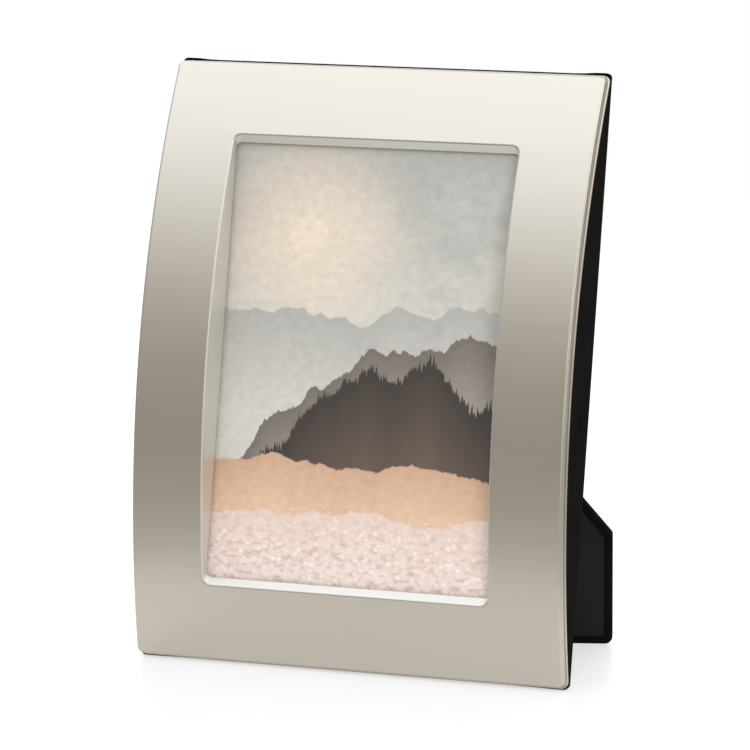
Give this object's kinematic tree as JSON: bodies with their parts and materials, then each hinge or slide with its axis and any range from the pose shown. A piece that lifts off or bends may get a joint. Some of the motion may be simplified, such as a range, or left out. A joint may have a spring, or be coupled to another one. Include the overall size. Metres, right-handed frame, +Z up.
{
  "type": "photo frame",
  "caption": "Bow-fronted metal desk photo frame with a flat glazed window, a velvet-covered core and a diagonal two-way easel leg that folds flat.",
  "frame": {"origin": "on the table, under the middle of the standing frame's box", "axes": "+X to the frame's right, +Y to the back, +Z up; the frame leans back by 11 degrees"},
  "size_m": [0.1728, 0.0956, 0.2245],
  "materials": {
    "champagne_metal": "satin, brushed across",
    "glass": "clear",
    "print": "semi-gloss photo paper",
    "card": "grey board",
    "corrugated": "kraft corrugated",
    "adhesive_tape": "foam tape",
    "core_board": "black-dyed fibreboard",
    "velvet": "short-pile velvet",
    "lining": "flat lining cloth",
    "nickel_plate": "dull nickel plate"
  },
  "bodies": {
    "frame": {"face_plate": "champagne_metal", "tape_left": "adhesive_tape", "tape_right": "adhesive_tape", "tape_top": "adhesive_tape", "tape_bottom": "adhesive_tape", "stile_left": "core_board", "stile_right": "core_board", "rail_top": "core_board", "rail_bottom": "core_board", "edge_velvet_left": "velvet", "edge_velvet_right": "velvet", "edge_velvet_top": "velvet", "edge_velvet_bottom": "velvet", "glass_pane": "glass", "photo_print": "print", "backing_card": "card", "corrugated_pad": "corrugated", "back_board": "core_board", "back_velvet": "velvet", "hinge_back_leaf": "nickel_plate", "hinge_pin": "nickel_plate", "back_rivets": "nickel_plate", "turn_screws": "nickel_plate"},
    "easel_leg": {"leg_board": "core_board", "leg_velvet": "velvet", "leg_lining": "lining", "hinge_leg_leaf": "nickel_plate", "leg_rivets": "nickel_plate"},
    "turn_button_top": {"turn_button_top": "nickel_plate"},
    "turn_button_bottom": {"turn_button_bottom": "nickel_plate"},
    "turn_button_left": {"turn_button_left": "nickel_plate"},
    "turn_button_right": {"turn_button_right": "nickel_plate"}
  },
  "joints": [
    {"name": "leg_hinge", "type": "hinge", "parent": "frame", "child": "easel_leg", "pos_m": [-0.0188, -0.00946, 0.1284], "axis": [0.7771, 0.1201, 0.6178], "range_deg": [-28.09, 0]},
    {"name": "button_top", "type": "hinge", "parent": "frame", "child": "turn_button_top", "pos_m": [0.025, 0.00477, 0.20947], "axis": [0, 0.9816, -0.1908], "continuous": true},
    {"name": "button_bottom", "type": "hinge", "parent": "frame", "child": "turn_button_bottom", "pos_m": [-0.025, -0.03328, 0.01374], "axis": [0, 0.9816, -0.1908], "continuous": true},
    {"name": "button_left", "type": "hinge", "parent": "frame", "child": "turn_button_left", "pos_m": [-0.0743, -0.02094, 0.07725], "axis": [0, 0.9816, -0.1908], "continuous": true},
    {"name": "button_right", "type": "hinge", "parent": "frame", "child": "turn_button_right", "pos_m": [0.0743, -0.00758, 0.14596], "axis": [0, 0.9816, -0.1908], "continuous": true}
  ]
}
